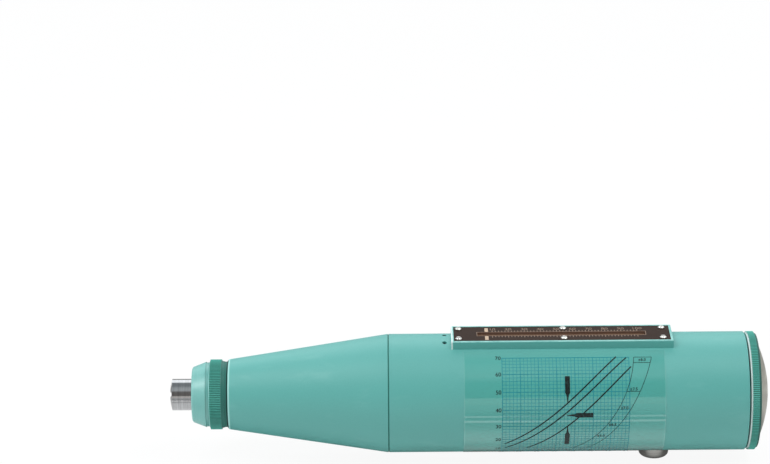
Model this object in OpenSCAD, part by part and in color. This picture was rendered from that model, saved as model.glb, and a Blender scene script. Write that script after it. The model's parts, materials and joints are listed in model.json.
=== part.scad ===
// Rebound hammer for testing concrete, as an assembly of separate pieces on one axis.
// The origin is the centre of the front cap's face, +X runs to the rear and +Z points up to the scale.
// The plunger is drawn in and locked away, as the tool is carried.

/* [Barrel and cone] */
// Outside diameter of the barrel
barrel_d = 55.4; // [55:0.2:57]
// Wall of the barrel
barrel_wall = 3.5; // [3.4:0.05:3.6]
// Length of plain barrel ahead of the scale frame
barrel_lead = 29.3; // [29:0.1:30]
// Chamfer on the barrel's ends and on the cone's large end, which makes the groove between them
shell_chamfer = 0.3; // [0.2:0.05:0.4]
// Small diameter of the cone
cone_front_d = 32.8; // [32.4:0.2:34]
// Length of the collar seen between the cap and the cone
collar_len = 1.3; // [1.1:0.1:1.6]
// Rounded-off edge at the cone's small end
cone_edge = 0.7; // [0.5:0.1:0.9]
// Wall of the cone's spigot
spigot_wall = 2.1; // [1.9:0.1:2.4]
// Distance of the two grub screws ahead of the scale frame
grub_ahead = 3.1; // [2.8:0.1:3.6]
// Half the spacing of the grub screws
grub_y = 4.25; // [4:0.05:4.6]
// Diameter of a grub screw
grub_d = 2.2; // [1.8:0.1:2.6]
// Depth of a grub screw's head below the barrel's surface
grub_sink = 0.5; // [0.3:0.1:0.8]
// Hexagon socket across its corners
grub_socket_d = 1.2; // [0.9:0.1:1.3]

/* [Front cap] */
// Diameter of the flat nose face
cap_face_d = 24.6; // [24:0.2:25]
// Diameter behind the nose face's rounded edge
cap_rim_d = 26; // [25.6:0.2:26.4]
// Length of that edge
cap_edge = 0.5; // [0.3:0.1:0.8]
// Large diameter of the cap's cone
cap_cone_d = 30.6; // [30.2:0.2:31]
// End of the cap's cone
cap_cone_end = 6.5; // [6.3:0.1:6.8]
// Depth of the step behind the cap's cone
cap_step = 0.3; // [0.2:0.05:0.5]
// Length of that step
cap_step_len = 1.6; // [1.4:0.1:1.8]
// Wall of the cap's knurled ring round the thread
cap_wall = 3.48; // [3.4:0.02:3.7]
// Length of the knurled ring
ring_len = 7.1; // [6.9:0.1:7.4]
// Thickness of the knurled ring's front wall, ahead of the thread
cap_shoulder = 0.8; // [0.6:0.1:1]
// Chamfer at the front of the knurled ring
ring_chamfer = 0.4; // [0.3:0.05:0.6]
// Plain chamfer at the back of the knurled ring
ring_back = 1.4; // [1.1:0.1:1.7]
// Number of knurl teeth on the cap
cap_teeth = 120; // [90:6:144]
// Depth of a knurl tooth
knurl_depth = 0.3; // [0.2:0.05:0.35]
// Thickness of the felt washer
felt_t = 4.8; // [4.6:0.1:5]
// Width of the felt washer past the guide sleeve
felt_land = 1; // [0.8:0.1:1.2]

/* [Neck and guide sleeve] */
// Wall of the neck round the two-part ring
neck_wall = 1.38; // [1.3:0.02:1.5]
// Diameter of the collar seen between the cap and the cone
collar_d = 30.7; // [30.4:0.1:31]
// Room ahead of the neck and ahead of the guide sleeve
neck_room = 0.4; // [0.3:0.1:0.6]
// Depth of the two-part ring's seat in the neck
ring_seat = 2.8; // [2.6:0.1:3]
// Width of the two-part ring past the guide sleeve
ring_land = 1.5; // [1.3:0.1:1.6]
// Thickness of the two-part ring
split_ring_t = 2; // [1.8:0.1:2.1]
// Saw cut between the two halves of the ring
split_cut = 0.8; // [0.6:0.1:1.2]
// Wall of the guide sleeve
sleeve_wall = 2.52; // [2.4:0.02:2.6]
// Depth of the ring's groove in the sleeve
sleeve_groove = 1.4; // [1.2:0.1:1.6]
// Place of the sleeve's flange behind the cone's front
flange_back = 14.8; // [14:0.2:16]
// Thickness of the sleeve's flange
flange_t = 3; // [2.5:0.1:3.2]
// Width of the sleeve's flange past the impact spring
flange_lip = 1.3; // [1.1:0.1:1.4]
// Length of the guide sleeve behind its flange
sleeve_tail = 10; // [8:0.5:12]

/* [Plunger and guide bar] */
// Diameter of the plunger
plunger_d = 14.8; // [14.7:0.05:15]
// Length of plunger in front of the nose face
plunger_out = 10.6; // [9:0.2:12]
// Radius of the plunger's domed tip
tip_r = 25; // [22:1:28]
// Bore in the rear of the plunger
plunger_bore_d = 10; // [9.8:0.1:10.2]
// Depth of that bore
plunger_bore_depth = 43; // [42:0.5:45]
// Length of the bush in that bore
bush_len = 6; // [5:0.5:8]
// Diameter of the guide bar
bar_d = 7; // [6.8:0.1:7.2]
// Length of the buffer spring in the bore
buffer_len = 12; // [10:0.5:13]
// Length of the collar at the guide bar's front end
bar_collar = 3; // [2.5:0.1:4]
// Tip of the guide bar ahead of its collar, inside the buffer spring
bar_tip = 4; // [3:0.5:5]
// Travel of the plunger past the travel of the mass
travel_spare = 3; // [2:0.5:3]

/* [Hammer mass] */
// Length of the mass
mass_len = 43.9; // [43.6:0.1:45]
// Room between the mass's front flange and the bore
flange_room = 5.4; // [5.2:0.1:5.6]
// Room between the middle of the mass and the bore
body_room = 6.9; // [6.7:0.1:7.2]
// Room between the rear lip and the bore
lip_room = 9.2; // [9.1:0.1:9.3]
// Thickness of the rear lip
lip_t = 3; // [2.6:0.1:3.2]
// Length of the groove ahead of the lip
groove_len = 7.1; // [7:0.1:7.3]
// Depth of that groove
groove_depth = 2.5; // [2.2:0.1:2.6]
// Land between the body and the groove
land_len = 1.4; // [1:0.1:2]
// Length of the ring that centres the impact spring
spring_ring = 3; // [2:0.2:4]
// Room between the mass and the disk when the mass is hooked
hook_room = 0.5; // [0.4:0.1:0.6]
// Chamfer on the mass's edges
mass_chamfer = 0.6; // [0.3:0.1:0.8]

/* [Springs] */
// Diameter of the impact spring's wire
impact_wire = 2; // [1.8:0.1:2.2]
// Room between the impact spring and the guide sleeve
impact_room = 1; // [0.9:0.1:1.2]
// Curls of the impact spring
impact_curls = 15; // [12:1:16]
// Diameter of the compression spring's wire
return_wire = 1.6; // [1.4:0.1:1.6]
// Mean diameter of the compression spring
return_d = 25.2; // [25:0.1:25.2]
// Curls of the compression spring
return_curls = 9; // [7:1:11]
// Length of the compression spring between the disk and the rear cover
return_len = 27.5; // [27:0.1:30]
// Diameter of the buffer spring's wire
buffer_wire = 0.9; // [0.7:0.1:1]
// Curls of the buffer spring
buffer_curls = 7; // [5:1:7]
// Diameter of the button spring's wire
button_wire = 0.6; // [0.5:0.05:0.65]
// Curls of the button spring
button_curls = 3; // [2:1:3]
// Diameter of the pawl spring's wire
pawl_wire = 0.6; // [0.5:0.05:0.65]
// Curls of the pawl spring
pawl_curls = 2; // [1:1:2]

/* [Disk, pawl and trip] */
// Thickness of the guide disk
disk_t = 7; // [6.5:0.1:7.2]
// Depth of the pawl's pivot below the bore
pivot_depth = 3.4; // [3.2:0.1:3.6]
// Pivot behind the disk's front face
pivot_back = 3.4; // [3.2:0.1:3.6]
// Diameter of the pawl pin
pawl_pin_d = 2.5; // [2.2:0.1:2.7]
// Length of pin held on each side of the disk's slot
pin_hold = 2.2; // [1.8:0.1:2.4]
// Diameter of the pawl's boss
boss_d = 4.6; // [4.4:0.1:4.8]
// Width of the pawl
pawl_w = 4; // [3.6:0.1:4.2]
// Length of the pawl's hook
hook_len = 3.1; // [2.9:0.1:3.2]
// Height of the pawl's arm
arm_h = 3.2; // [2.8:0.1:3.4]
// End of the pawl's tail behind the disk
tail_len = 6.4; // [6:0.1:7]
// Half height of the tail round the trip screw's line
tail_half = 1.2; // [1:0.05:1.2]
// Room between the trip screw's nut and the compression spring
trip_room = 0.34; // [0.32:0.02:0.5]
// Diameter of the trip screw
trip_d = 4; // [3.6:0.1:4]
// Room between the trip screw and the pawl's tail
trip_gap = 1; // [0.6:0.1:1.4]
// Width across the flats of the trip screw's lock nut
trip_nut_w = 6; // [5.8:0.1:6]
// Thickness of that nut
trip_nut_t = 3.2; // [2.8:0.1:3.6]
// Width across the flats of the guide bar's nut
bar_nut_w = 11; // [10:0.2:12]
// Thickness of that nut
bar_nut_t = 4; // [3.5:0.1:4.5]
// Length of bar seen behind its nut
bar_end = 1.2; // [0.8:0.1:2]

/* [Scale] */
// Length of the scale frame
frame_len = 102.8; // [102.6:0.1:103.2]
// Width of the scale frame
frame_w = 18.8; // [18.4:0.1:19.2]
// Height of the scale frame above the barrel
frame_stand = 2.15; // [2:0.05:2.5]
// Wall left between the frame's seat and the bore
seat_wall = 1.4; // [1.2:0.1:1.6]
// Rim of the frame round the plate
frame_rim = 1.1; // [1:0.05:1.2]
// Chamfer on the frame's top edges
frame_chamfer = 0.3; // [0.2:0.05:0.4]
// Thickness of the scale plate
plate_t = 1; // [0.8:0.1:1.1]
// Step of the frame's rim above the plate
plate_sink = 0.15; // [0.1:0.05:0.25]
// Front of the slot in the plate behind the rider's index line at zero
slot_lead = 0.5; // [0.2:0.1:0.8]
// Length of that slot past the rider's travel
slot_spare = 3.2; // [3:0.1:3.6]
// Width of plate that covers each edge of the opening below it
slot_lip = 0.7; // [0.6:0.05:0.9]
// Thickness of the window
window_t = 1.2; // [1:0.1:1.3]
// Width of the ledge that carries the window
window_ledge = 1; // [0.8:0.1:1.1]
// Distance of the front screws from the frame's front
screw_inset = 3.4; // [3.1:0.1:3.7]
// Distance of the rear screws from the frame's rear
screw_tail = 4.6; // [4.2:0.1:5]
// Distance of the middle screws behind the frame's middle
screw_shift = 0.9; // [0.6:0.1:1.2]
// Distance of the screw rows from the frame's sides
screw_edge = 3.7; // [3.5:0.05:3.9]
// Wall between the screws and the window
screw_wall = 1.2; // [1:0.05:1.3]
// Diameter of a scale screw's head
screw_head_d = 3; // [2.6:0.1:3.2]
// Height of a scale screw's head
screw_head_h = 0.9; // [0.7:0.1:1]
// Diameter of a scale screw's shank
screw_d = 1.6; // [1.4:0.1:1.8]
// Length of a scale screw under the plate
screw_len = 2; // [1.6:0.1:2.4]
// Width of a screw's driver slot
driver_w = 0.5; // [0.4:0.05:0.6]
// Depth of a screw's driver slot
driver_depth = 0.35; // [0.3:0.05:0.45]
// Front edge of the chart label behind the frame's front
label_inset = 5.5; // [5:0.1:6]
// Rear edge of the chart label ahead of the frame's rear
label_tail = 4.4; // [4:0.1:4.8]
// Start of the label, in degrees from the top of the barrel
label_start = 23; // [22:0.5:25]
// End of the label, in degrees from the top of the barrel
label_end = 157; // [150:1:159]
// Thickness of the label's film
label_t = 0.1; // [0.08:0.01:0.14]

/* [Rider] */
// Place of the scale's ten mark
ten_mark = 140.3; // [140.2:0.05:140.4]
// Distance from the rider's index line to its finger
finger_reach = 20; // [19.8:0.1:20]
// Length of the finger's bent tip
finger_tip = 1.9; // [1.7:0.1:1.9]
// Thickness of the finger
finger_t = 0.6; // [0.5:0.05:0.6]
// Width of the finger
finger_w = 3; // [2.6:0.1:3.4]
// Room between the lifted finger's tip and the mass's flange
finger_lift = 0.3; // [0.3:0.05:0.4]
// Diameter of the rider's guide rod
rod_d = 2.4; // [2.2:0.1:2.4]
// Depth of the guide rod below the bore
rod_depth = 1.4; // [1.3:0.05:1.45]
// Width of the rider's shoulders
rider_w = 8.4; // [8:0.1:8.6]
// Room on each side of the rider's head in the frame's opening
head_room = 0.2; // [0.15:0.05:0.3]
// Thickness of the rider's shoulders
shoulder_h = 2.2; // [2:0.1:2.3]
// Length of the rider ahead of its index line
rider_ahead = 6.6; // [6:0.1:6.8]
// Length of the rider behind its index line
rider_behind = 8.5; // [8.2:0.1:8.7]
// Room between the rider's head and the window
rider_room = 0.35; // [0.3:0.05:0.5]
// Width of a rod hanger
hanger_w = 5.2; // [5:0.1:5.3]
// Thickness of a rod hanger
hanger_t = 3; // [2.6:0.1:3.2]
// Distance of the hangers from the frame's ends
hanger_inset = 1.5; // [1.3:0.1:1.7]
// Room between the front hanger and the rider at zero
front_gap = 0.6; // [0.5:0.1:0.8]
// Room between the rear hanger and the rider at the end of its travel
rear_gap = 3.1; // [2.9:0.1:3.4]

/* [Button] */
// Diameter of the button
button_d = 14; // [13.6:0.1:14.2]
// Height of the button outside the barrel
button_out = 4.6; // [4.2:0.1:5]
// Radius of the button's rounded edge
button_edge = 1.6; // [1.2:0.1:1.8]
// Wall of the button's skirt
button_wall = 1.5; // [1.4:0.1:1.6]
// Thickness of the button's crown
button_crown = 1.5; // [1.3:0.1:1.6]
// Travel of the button
button_travel = 2.2; // [2:0.1:2.2]
// Wall left between the button's pocket and the bore
pocket_wall = 0.6; // [0.5:0.1:0.7]
// Diameter of the lock pin
lock_pin_d = 5; // [4.8:0.1:5]
// Step from the bush's flange to the bush
bush_step = 0.55; // [0.5:0.05:0.7]
// Length of the bush below its flange
button_bush_len = 4.2; // [4:0.1:4.3]
// Thickness of the bush's flange
bush_flange_t = 1; // [0.8:0.1:1]
// Room between the bush's flange and the button's skirt
skirt_room = 0.2; // [0.15:0.05:0.3]
// Thickness of the pin's clip
clip_t = 0.6; // [0.5:0.05:0.65]
// Diameter of the pin's clip
clip_d = 8.4; // [8:0.1:8.6]
// Depth of the clip's groove in the pin
clip_groove = 0.5; // [0.4:0.05:0.6]
// Length of the pin inside the clip
nose_len = 2.2; // [2.1:0.05:2.3]

/* [Rear cover] */
// Gap between the barrel and the rear cover
cover_gap = 0.75; // [0.6:0.05:0.9]
// Width of the bare chamfer at the front of the cover's rim
cover_chamfer = 0.65; // [0.55:0.05:0.8]
// Width of the cover's rim
cover_rim = 4.75; // [4.6:0.05:5]
// Chamfer on the rim's rear edge
rim_edge = 1; // [0.8:0.1:1.2]
// Number of knurl teeth on the cover
cover_teeth = 180; // [150:6:192]
// Length of the cover's thread in the barrel
cover_thread = 9.1; // [8.8:0.1:9.6]
// Depth of the hollow in the cover's front
cover_hollow = 5; // [4.8:0.1:5.4]
// Wall of the cover's thread round that hollow
cover_wall = 2.58; // [2.4:0.02:2.7]
// Height of the boss that centres the compression spring
cover_boss_h = 3; // [2:0.2:4]
// Depth of the dome's seat
dome_seat = 2.5; // [2.2:0.1:2.6]
// Width of the cover's rim round the dome
rim_face = 3.5; // [3.3:0.1:3.8]
// Height of the dome behind the rim
dome_h = 5.6; // [5.4:0.1:5.8]
// Radius of the dome's ball
dome_r = 55; // [54:0.2:57]

/* [Fits] */
// Radial room of a sliding or turning fit
running_fit = 0.08; // [0.05:0.01:0.09]
// Room between pieces that are fixed to each other
fixed_fit = 0.02; // [0.02:0.01:0.04]
// Room between pieces that only pass each other
pass_room = 0.3; // [0.3:0.05:0.35]
// Room at a stop or a catch
stop_gap = 0.2; // [0.15:0.05:0.25]

/* [Hidden] */
$fn = 72;
// Sides of the flat dome's large ball
dome_sides = 360;
// How far a cutter runs past the face that it cuts
cut = 1;
// Rings in one curl of a spring, and sides of its wire
curl_rings = 8;
wire_sides = 6;

// Inner radius of a spring, whose curls are drawn with straight pieces
function coil_in_r(r, wire) = r * cos(180 / curl_rings) - wire / 2;

// Bore of the barrel
barrel_r = barrel_d / 2;
bore_r = barrel_r - barrel_wall;

// Radii of the nose, from the plunger out
plunger_r = plunger_d / 2;
sleeve_bore_r = plunger_r + running_fit;
sleeve_r = sleeve_bore_r + sleeve_wall;
groove_r = sleeve_r - sleeve_groove;
felt_r = sleeve_r + felt_land;
split_ring_r = sleeve_r + ring_land;
neck_thread_r = split_ring_r + fixed_fit + neck_wall;
cap_knurl_r = neck_thread_r + fixed_fit + cap_wall;
cap_step_r = cap_cone_d / 2 - cap_step;
impact_r = sleeve_r + impact_room + impact_wire / 2;
flange_r = impact_r + impact_wire / 2 + flange_lip;
cone_hollow_r = flange_r + pass_room;

// Places along the nose
cap_ring_front = cap_cone_end + cap_step_len;
cap_len = cap_ring_front + ring_len;
cap_floor = cap_ring_front - neck_room - felt_t;
cap_thread_front = cap_ring_front + cap_shoulder;
neck_front = cap_thread_front + neck_room;
ring_floor = neck_front + ring_seat;
split_front = ring_floor - fixed_fit - split_ring_t;
sleeve_front = cap_ring_front;
collar_front = cap_len + fixed_fit;
cone_front = collar_front + collar_len;
flange_x = cone_front + flange_back;
sleeve_rear = flange_x + flange_t + sleeve_tail;
plunger_tip = -plunger_out;

// Travel: the rider runs between the frame's hangers, and a hundred units are the travel of the mass
scale_tens = 10;
hanger_room = hanger_inset + hanger_t;
mass_travel = frame_len - 2 * hanger_room - front_gap - rear_gap - rider_ahead - rider_behind;
plunger_travel = mass_travel + travel_spare;
ten_step = mass_travel / scale_tens;

// Places along the scale, the barrel and the cone, counted from the ten mark
index_zero = ten_mark - ten_step;
rider_front = index_zero - rider_ahead;
rider_rear = index_zero + rider_behind;
frame_front = rider_front - front_gap - hanger_room;
frame_rear = frame_front + frame_len;
frame_mid = frame_front + frame_len / 2;
barrel_front = frame_front - barrel_lead;
cone_rear = barrel_front - fixed_fit;
spigot_r = bore_r - fixed_fit;
spigot_bore_r = spigot_r - spigot_wall;
spigot_rear = frame_front - pass_room;
grub_x = frame_front - grub_ahead;

// Disk: it pushes the rider back to zero as the plunger comes out, and stands behind the lock pin when in
disk_out_front = rider_rear + stop_gap;
disk_front = disk_out_front + plunger_travel;
disk_rear = disk_front + disk_t;
disk_r = bore_r - running_fit;
button_x = disk_front - pass_room - lock_pin_d / 2;
bar_nut_front = disk_rear + fixed_fit;
bar_rear = bar_nut_front + bar_nut_t + bar_end;

// Mass: it rests against the plunger, and its lip passes under the pawl's hook
mass_rear = disk_out_front - hook_room;
mass_front = mass_rear - mass_len;
lip_front = mass_rear - lip_t;
lip_r = bore_r - lip_room;
groove_front = lip_front - groove_len;
mass_groove_r = lip_r - groove_depth;
body_rear = groove_front - land_len;
finger_x = index_zero - finger_reach;
mass_flange_rear = finger_x - stop_gap;
mass_flange_r = bore_r - flange_room;
mass_body_r = bore_r - body_room;

// Plunger and guide bar
plunger_rear = mass_front - stop_gap;
bore_floor = plunger_rear - plunger_bore_depth;
collar_x = bore_floor + buffer_len;
bar_bore_r = bar_d / 2 + running_fit;
bush_front = plunger_rear - bush_len;

// Springs
impact_front = flange_x + flange_t + fixed_fit;
impact_rear = mass_front - fixed_fit;
ring_in_r = plunger_r + pass_room;
ring_out_r = coil_in_r(impact_r, impact_wire) - pass_room;
return_r = return_d / 2;
return_front = disk_rear + fixed_fit;
buffer_r = (plunger_bore_d - buffer_wire) / 2 - pass_room;
bar_tip_r = coil_in_r(buffer_r, buffer_wire) - pass_room;

// Rear cover, trip screw and dome
hollow_floor = disk_rear + return_len;
thread_front = hollow_floor - cover_hollow;
barrel_rear = thread_front + cover_thread;
rim_front = barrel_rear + cover_gap;
rim_rear = rim_front + cover_rim;
cover_thread_r = bore_r - fixed_fit;
cover_hollow_r = cover_thread_r - cover_wall;
cover_boss_r = coil_in_r(return_r, return_wire) - pass_room;
dome_edge_r = barrel_r - rim_face;
dome_front = rim_rear - dome_seat;
dome_end = rim_rear + dome_h;
trip_nut_r = trip_nut_w / 2 / cos(30);
trip_r = return_r + return_wire / 2 + trip_room + trip_nut_r;
tail_rear = disk_rear + tail_len;
trip_tip = tail_rear + trip_gap;
trip_rear = dome_front - pass_room;
trip_nut_rear = hollow_floor - fixed_fit;
knurl_core = 2 * knurl_depth;

// Pawl
pivot_r = bore_r - pivot_depth;
pivot_x = disk_front + pivot_back;
hook_back = lip_front + mass_travel - pass_room;
hook_front = hook_back - hook_len;
hook_tip_r = mass_groove_r + 2 * stop_gap;
arm_in_r = lip_r + 2 * pass_room;
arm_out_r = arm_in_r + arm_h;
boss_r = boss_d / 2;
pawl_slot_floor = arm_in_r - 4 * pass_room;
pawl_side = pawl_w / 2 + running_fit;
pawl_spring_r = (pawl_pin_d + pawl_wire) / 2 + pass_room;
pawl_spring_start = pawl_side + pass_room;
pawl_spring_pitch = 2 * pawl_wire + running_fit;
pawl_spring_end = pawl_spring_start + pawl_curls * pawl_spring_pitch + pawl_wire;
pawl_slot_top = pawl_spring_end + pass_room;
pawl_leg = pivot_r - pawl_slot_floor - pawl_spring_r;

// Scale
seat_z = bore_r + seat_wall;
frame_top = barrel_r + frame_stand;
plate_top = frame_top - plate_sink;
plate_floor = plate_top - plate_t - fixed_fit;
window_floor = plate_floor - window_t - fixed_fit;
plate_w = frame_w - 2 * frame_rim;
plate_len = frame_len - 2 * frame_rim;
screw_y = frame_w / 2 - screw_edge;
screw_rows = [frame_front + screw_inset, frame_mid + screw_shift, frame_rear - screw_tail];
window_w = 2 * (screw_y - screw_d / 2 - screw_wall);
window_len = plate_len - 2 * window_ledge;
opening_w = window_w - 2 * window_ledge;
opening_front = rider_front - pass_room;
opening_rear = rider_rear + mass_travel + pass_room;
slot_w = opening_w - 2 * slot_lip;
slot_front = index_zero + slot_lead;
slot_len = mass_travel + slot_spare;
wall_slot_w = hanger_w + 2 * pass_room;
wall_slot_front = frame_front + hanger_inset - pass_room;
wall_slot_rear = frame_rear - hanger_inset + pass_room;
label_r = barrel_r + fixed_fit;
label_front = frame_front + label_inset;
label_len = frame_len - label_inset - label_tail;

// Rider
rod_z = bore_r - rod_depth;
rod_front = frame_front + hanger_inset;
rod_rear = frame_rear - hanger_inset;
hanger_z = rod_z - rod_d / 2 - pass_room;
finger_z = mass_flange_r + finger_lift + finger_tip - finger_t;
rider_z = finger_z + finger_t + fixed_fit;
rider_top = window_floor - rider_room;
rider_head_w = opening_w - 2 * head_room;
top_notch_w = hanger_w + 2 * pass_room;
top_notch_z = hanger_z - pass_room;

// Button, with depths counted from the axis down
button_end = barrel_r + button_out;
button_r = button_d / 2;
pocket_floor = bore_r + pocket_wall;
pocket_r = button_r + running_fit;
skirt_end = pocket_floor + button_travel + fixed_fit;
cup_floor = button_end - button_crown;
lock_pin_r = lock_pin_d / 2;
bush_flange_r = button_r - button_wall - skirt_room;
button_bush_r = bush_flange_r - bush_step;
bush_end = pocket_floor - button_bush_len;
flange_top = pocket_floor + bush_flange_t;
clip_top = bush_end - fixed_fit;
clip_low = clip_top - clip_t;
nose_end = clip_low - nose_len;
bottom_notch_w = 2 * (button_bush_r + pass_room);
bottom_notch_r = min(nose_end, clip_low - button_travel) - pass_room;
button_spring_r = (lock_pin_d + button_wire) / 2 + pass_room;

// A unit vector
function unit(v) = v / norm(v);
// Points of a helix along X between two positions of the wire's outer faces
function helix(r, from, to, wire, curls) = [
  for (i = [0 : curls * curl_rings])
    let (share = i / (curls * curl_rings), turn = 360 * i / curl_rings)
      [from + wire / 2 + (to - from - wire) * share, r * cos(turn), r * sin(turn)]
];
// Least gap between the curls of a helix, measured between its points
function least_gap(path, wire) = min([
  for (i = [0 : len(path) - 1])
    for (j = [i + curl_rings / 2 : len(path) - 1])
      norm(path[i] - path[j]) - wire
]);

// A profile of [radius, position] points turned round the tool's axis
module turned(profile) {
  rotate([0, 90, 0])
    rotate_extrude()
      polygon(profile);
}

// A round bar on the tool's axis
module bar(r, from, to) {
  translate([from, 0, 0])
    rotate([0, 90, 0])
      cylinder(r = r, h = to - from);
}

// A ring on the tool's axis
module ring(r_out, r_in, from, to) {
  difference() {
    bar(r_out, from, to);
    bar(r_in, from - cut, to + cut);
  }
}

// A block from one corner to the other
module block(low, high) {
  translate(low)
    cube(high - low);
}

// A straight-toothed knurl on the tool's axis
module knurl(r, teeth, from, to) {
  translate([from, 0, 0])
    rotate([0, 90, 0])
      linear_extrude(to - from)
        polygon([
          for (i = [0 : 2 * teeth - 1])
            (r - (i % 2) * knurl_depth) * [cos(180 * i / teeth), sin(180 * i / teeth)]
        ]);
}

// A wire of even thickness along a path that turns round the given axis
module wire_along(path, wire, axis) {
  last = len(path) - 1;
  points = [
    for (i = [0 : last])
      let (
        along = unit(path[min(i + 1, last)] - path[max(i - 1, 0)]),
        side = unit(cross(along, axis)),
        up = cross(along, side)
      )
      for (s = [0 : wire_sides - 1])
        path[i] + wire / 2 * (cos(360 * s / wire_sides) * side + sin(360 * s / wire_sides) * up)
  ];
  walls = [
    for (i = [0 : last - 1])
      for (s = [0 : wire_sides - 1])
        let (
          a = i * wire_sides + s,
          b = i * wire_sides + (s + 1) % wire_sides
        )
        each [[a, a + wire_sides, b + wire_sides], [a, b + wire_sides, b]]
  ];
  ends = [
    [for (s = [0 : wire_sides - 1]) s],
    [for (s = [wire_sides - 1 : -1 : 0]) last * wire_sides + s]
  ];
  polyhedron(points, concat(ends, walls));
}

// A coil spring along X
module coil(r, from, to, wire, curls) {
  path = helix(r, from, to, wire, curls);
  echo(least_spring_gap = least_gap(path, wire));
  wire_along(path, wire, [1, 0, 0]);
}

// A bar that hangs down from the axis towards the button, between two depths
module down_bar(r, from, to) {
  translate([button_x, 0, -to])
    cylinder(r = r, h = to - from);
}

module front_cap() {
  color("mediumseagreen")
    difference() {
      union() {
        turned([
          [0, 0],
          [cap_face_d / 2, 0],
          [cap_rim_d / 2, cap_edge],
          [cap_cone_d / 2, cap_cone_end],
          [cap_step_r, cap_cone_end],
          [cap_step_r, cap_ring_front],
          [cap_knurl_r - knurl_core - ring_chamfer, cap_ring_front],
          [cap_knurl_r - knurl_core, cap_ring_front + ring_chamfer],
          [cap_knurl_r - knurl_core, cap_len - ring_back],
          [cap_knurl_r - knurl_core - ring_chamfer, cap_len],
          [0, cap_len]
        ]);
        knurl(cap_knurl_r, cap_teeth, cap_ring_front + ring_chamfer, cap_len - ring_back);
      }
      bar(sleeve_bore_r, -cut, cap_len + cut);
      bar(felt_r + fixed_fit, cap_floor, cap_len + cut);
      bar(neck_thread_r + fixed_fit, cap_thread_front, cap_len + cut);
    }
}

module felt_washer() {
  color("ivory")
    ring(felt_r, sleeve_bore_r, cap_floor + fixed_fit, cap_floor + felt_t);
}

module split_ring() {
  color("silver")
    difference() {
      ring(split_ring_r, groove_r + fixed_fit, split_front, ring_floor - fixed_fit);
      block(
        [split_front - cut, -split_cut / 2, -split_ring_r - cut],
        [ring_floor + cut, split_cut / 2, split_ring_r + cut]
      );
    }
}

module guide_sleeve() {
  color("darkkhaki")
    turned([
      [sleeve_bore_r, sleeve_front],
      [sleeve_r, sleeve_front],
      [sleeve_r, split_front - fixed_fit],
      [groove_r, split_front - fixed_fit],
      [groove_r, ring_floor],
      [sleeve_r, ring_floor],
      [sleeve_r, flange_x],
      [flange_r, flange_x],
      [flange_r, flange_x + flange_t],
      [sleeve_r, flange_x + flange_t],
      [sleeve_r, sleeve_rear],
      [sleeve_bore_r, sleeve_rear]
    ]);
}

module front_cone() {
  color("mediumaquamarine")
    difference() {
      turned([
        [neck_thread_r, neck_front],
        [neck_thread_r, collar_front],
        [collar_d / 2, collar_front],
        [collar_d / 2, cone_front],
        [cone_front_d / 2 - cone_edge, cone_front],
        [cone_front_d / 2, cone_front + cone_edge],
        [barrel_r, cone_rear - shell_chamfer],
        [barrel_r - shell_chamfer, cone_rear],
        [spigot_r, cone_rear],
        [spigot_r, spigot_rear],
        [spigot_bore_r, spigot_rear],
        [spigot_bore_r, cone_rear],
        [cone_hollow_r, flange_x - fixed_fit],
        [sleeve_r + fixed_fit, flange_x - fixed_fit],
        [sleeve_r + fixed_fit, ring_floor],
        [split_ring_r + fixed_fit, ring_floor],
        [split_ring_r + fixed_fit, neck_front]
      ]);
      grub_places()
        cylinder(d = grub_d + 2 * fixed_fit, h = barrel_r);
    }
}

// The two places of the grub screws, upright over the axis
module grub_places() {
  for (side = [-1, 1])
    translate([grub_x, side * grub_y, 0])
      children();
}

module barrel() {
  color("mediumaquamarine")
    difference() {
      turned([
        [bore_r, barrel_front],
        [barrel_r - shell_chamfer, barrel_front],
        [barrel_r, barrel_front + shell_chamfer],
        [barrel_r, barrel_rear - shell_chamfer],
        [barrel_r - shell_chamfer, barrel_rear],
        [bore_r, barrel_rear]
      ]);
      block(
        [frame_front - fixed_fit, -frame_w / 2 - fixed_fit, seat_z],
        [frame_rear + fixed_fit, frame_w / 2 + fixed_fit, barrel_r + cut]
      );
      block(
        [wall_slot_front, -wall_slot_w / 2, 0],
        [wall_slot_rear, wall_slot_w / 2, barrel_r + cut]
      );
      grub_places()
        cylinder(d = grub_d + 2 * fixed_fit, h = barrel_r + cut);
      down_bar(pocket_r, pocket_floor, barrel_r + cut);
      down_bar(button_bush_r + fixed_fit, 0, barrel_r + cut);
    }
}

module grub_screws() {
  grub_top = sqrt(pow(barrel_r, 2) - pow(grub_y, 2)) - grub_sink;
  color("dimgray")
    grub_places()
      difference() {
        translate([0, 0, spigot_bore_r])
          cylinder(d = grub_d, h = grub_top - spigot_bore_r);
        translate([0, 0, grub_top - grub_d / 2])
          cylinder(d = grub_socket_d, h = grub_d, $fn = 6);
      }
}

module scale_frame() {
  color("mediumaquamarine")
    difference() {
      union() {
        frame_block();
        for (x = [rod_front, rod_rear - hanger_t])
          block([x, -hanger_w / 2, hanger_z], [x + hanger_t, hanger_w / 2, plate_floor]);
      }
      block(
        [frame_mid - plate_len / 2, -plate_w / 2, plate_floor],
        [frame_mid + plate_len / 2, plate_w / 2, frame_top + cut]
      );
      block(
        [frame_mid - window_len / 2, -window_w / 2, window_floor],
        [frame_mid + window_len / 2, window_w / 2, frame_top + cut]
      );
      block(
        [opening_front, -opening_w / 2, 0],
        [opening_rear, opening_w / 2, frame_top + cut]
      );
      translate([0, 0, rod_z])
        bar(rod_d / 2 + fixed_fit, rod_front - cut, rod_rear + cut);
      screw_places()
        translate([0, 0, -screw_len - fixed_fit])
          cylinder(d = screw_d + 2 * fixed_fit, h = screw_len + cut);
    }
}

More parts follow.
